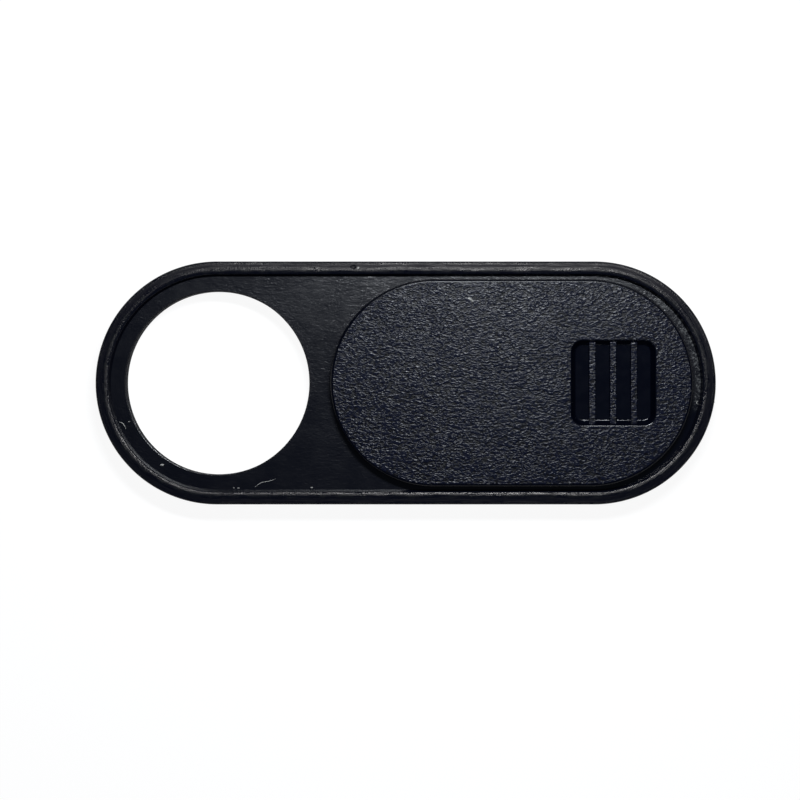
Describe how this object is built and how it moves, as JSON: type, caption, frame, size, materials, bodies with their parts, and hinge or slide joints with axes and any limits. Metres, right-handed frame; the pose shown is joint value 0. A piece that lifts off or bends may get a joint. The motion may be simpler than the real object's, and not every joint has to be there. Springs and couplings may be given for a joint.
{
  "type": "webcam cover slider",
  "caption": "Black pill-shaped stick-on camera cover: a rimmed frame with a round window and a textured shutter plate with a ribbed finger grip that slides over the window.",
  "frame": {"origin": "centre of the cover's underside, on the face of the release liner", "axes": "+X along the travel, from the camera window towards the parked shutter; +Z out of the front face; +Y to the long side that is uppermost in the picture"},
  "size_m": [0.032, 0.0126, 0.0021],
  "materials": {
    "frame_plastic": "black moulded plastic, fine spark-eroded grain, satin",
    "shutter_plastic": "black moulded plastic, coarse spark-eroded grain, satin",
    "adhesive": "soft double-sided acrylic adhesive pad, satin",
    "liner_paper": "waxed release paper, smooth"
  },
  "bodies": {
    "frame": {"frame": "frame_plastic", "adhesive_pad": "adhesive", "release_liner": "liner_paper"},
    "shutter": {"shutter": "shutter_plastic"}
  },
  "joints": [
    {"name": "shutter_slide", "type": "slide", "parent": "frame", "child": "shutter", "axis": [-1, 0, 0], "range_m": [0, 0.0109]}
  ]
}
